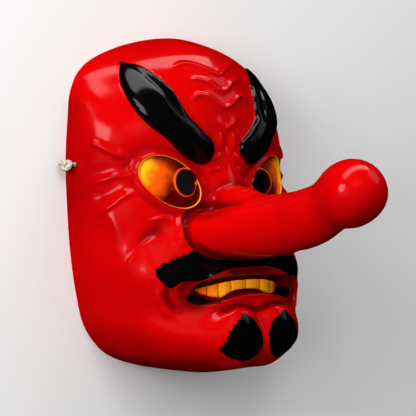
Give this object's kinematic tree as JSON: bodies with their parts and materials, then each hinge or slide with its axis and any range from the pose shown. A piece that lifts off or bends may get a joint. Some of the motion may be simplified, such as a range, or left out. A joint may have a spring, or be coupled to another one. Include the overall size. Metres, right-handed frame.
{
  "type": "tengu mask",
  "caption": "Hollow moulded tengu mask in glossy red lacquer with a long round-tipped nose, black brows, gold eyes and teeth, and a head cord knotted outside the rim.",
  "frame": {"origin": "middle of the mask's outline on the flat back of its rim, which lies on the floor", "axes": "+X to the right of someone who faces the mask, +Y up the face, +Z out of the face along the nose"},
  "size_m": [0.1964, 0.2266, 0.1946],
  "materials": {
    "red_lacquer": "glossy red lacquer over a moulded shell, with black, gold and orange paint",
    "cotton_cord": "matt twisted cream cotton"
  },
  "bodies": {
    "root": {"mask": "red_lacquer", "mask_nose": "red_lacquer", "head_cord": "cotton_cord", "knot_left": "cotton_cord", "knot_right": "cotton_cord"}
  },
  "joints": []
}
